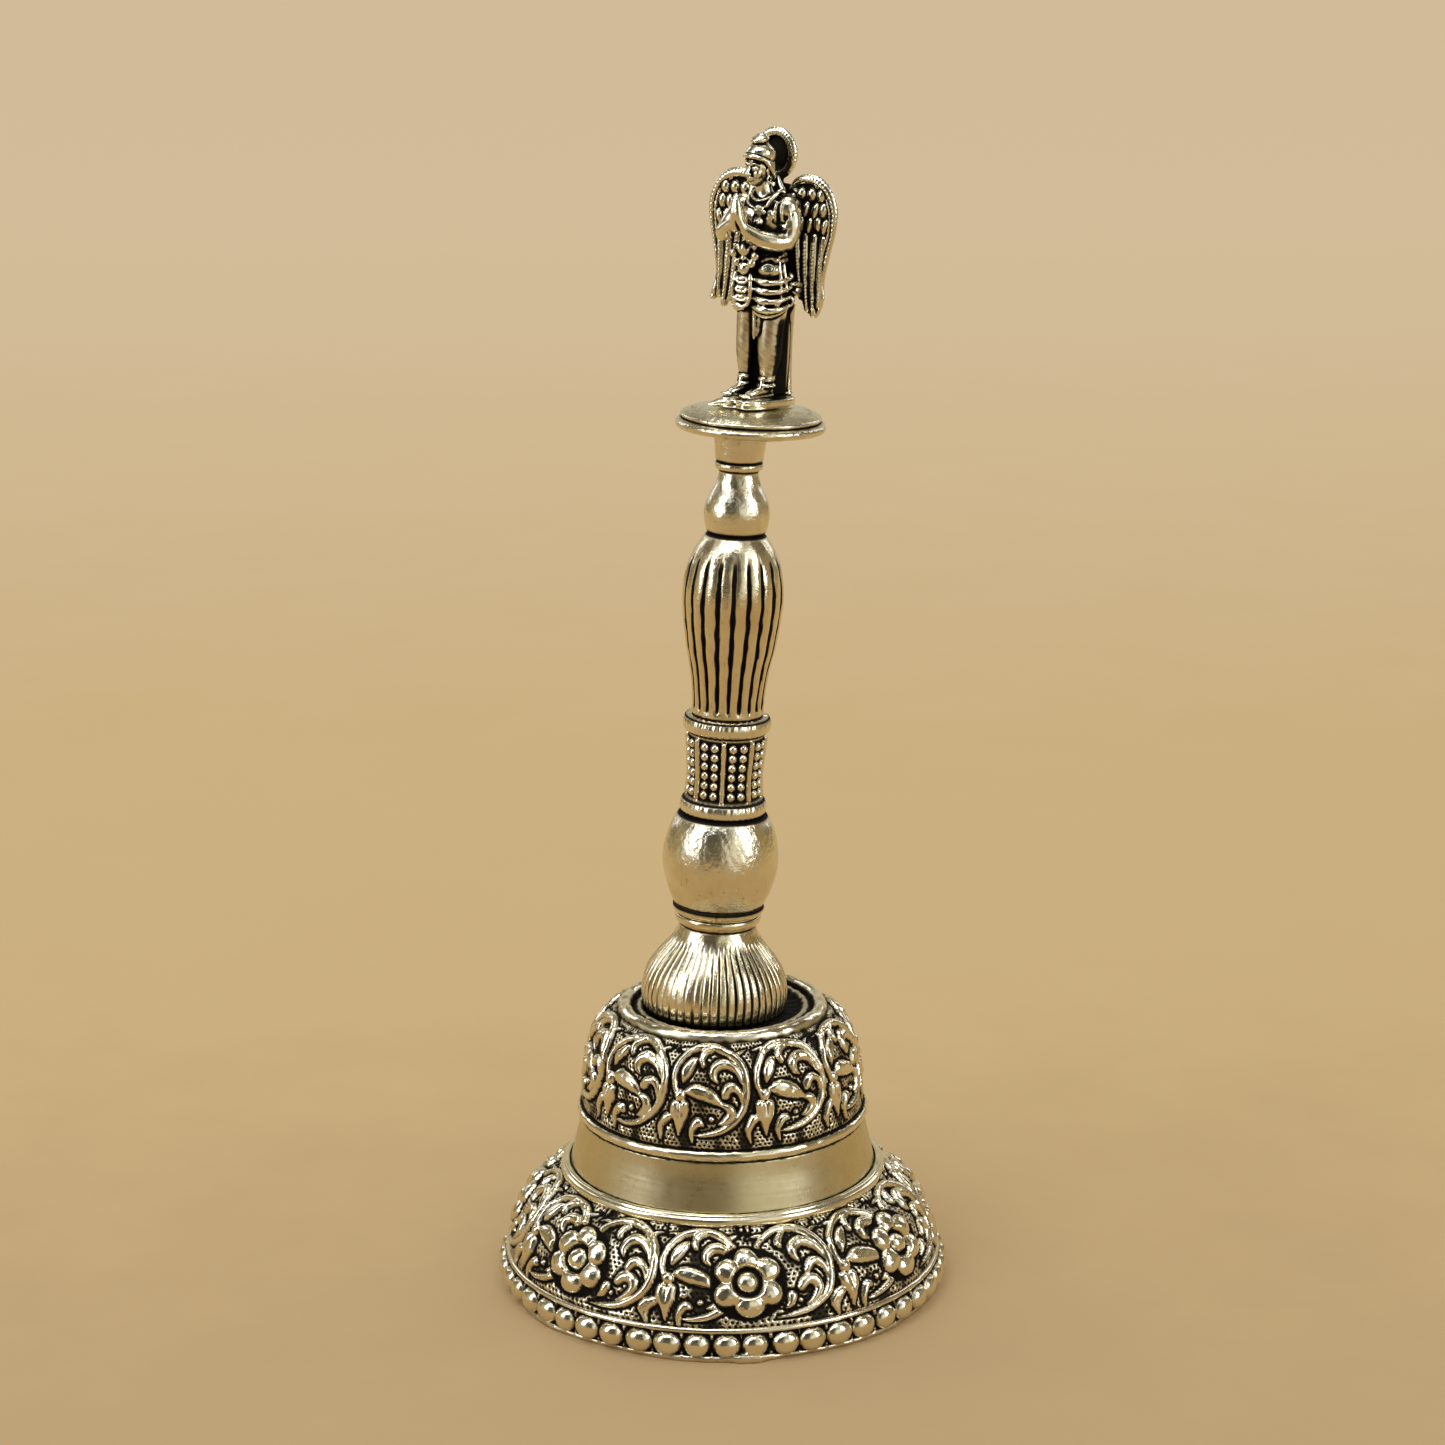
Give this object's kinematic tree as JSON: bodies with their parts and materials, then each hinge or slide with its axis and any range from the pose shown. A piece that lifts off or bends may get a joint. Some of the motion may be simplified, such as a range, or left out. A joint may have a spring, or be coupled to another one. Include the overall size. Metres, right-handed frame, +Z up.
{
  "type": "hand bell",
  "caption": "Small brass hand bell with an ornamented cup, a baluster handle topped by a standing winged figure, and a swinging clapper.",
  "frame": {"origin": "centre of the rim's flat resting face, on the table", "axes": "+Z up along the cup's axis; the figure faces -Y; the handle stack leans 2.6 degrees towards 30 degrees from +X"},
  "size_m": [0.0752, 0.0752, 0.1899],
  "materials": {
    "antique_brass": "cast brass, dark patina in the recesses and rubbed bright on the high parts",
    "warm_brass": "turned brass, satin, slightly warmer",
    "rod_steel": "plain threaded rod, hidden inside the stack"
  },
  "bodies": {
    "bell": {"bell_cup": "antique_brass", "crown_washer": "warm_brass", "crown_nut": "warm_brass", "clapper_eye": "warm_brass", "tie_rod": "rod_steel", "handle_foot": "warm_brass", "ball_knop": "antique_brass", "beaded_collar": "antique_brass", "fluted_grip": "warm_brass", "vase_knop": "antique_brass", "top_disc": "antique_brass", "figure_stud": "rod_steel", "figure_plinth": "antique_brass", "figure_post": "antique_brass", "winged_figure": "antique_brass", "left_wing": "antique_brass", "right_wing": "antique_brass", "halo_ring": "antique_brass"},
    "link": {"clapper_link": "warm_brass"},
    "clapper": {"clapper_stem": "warm_brass", "clapper_bob": "warm_brass", "bob_nut": "warm_brass"}
  },
  "joints": [
    {"name": "clapper_swing", "type": "hinge", "parent": "bell", "child": "link", "pos_m": [-0.00186, -0.00107, 0.03162], "axis": [0.866, 0.5, 0], "range_deg": [-44, 44]},
    {"name": "clapper_cross_swing", "type": "hinge", "parent": "link", "child": "clapper", "pos_m": [-0.00186, -0.00107, 0.02742], "axis": [-0.5, 0.866, 0], "range_deg": [-14, 14]}
  ]
}
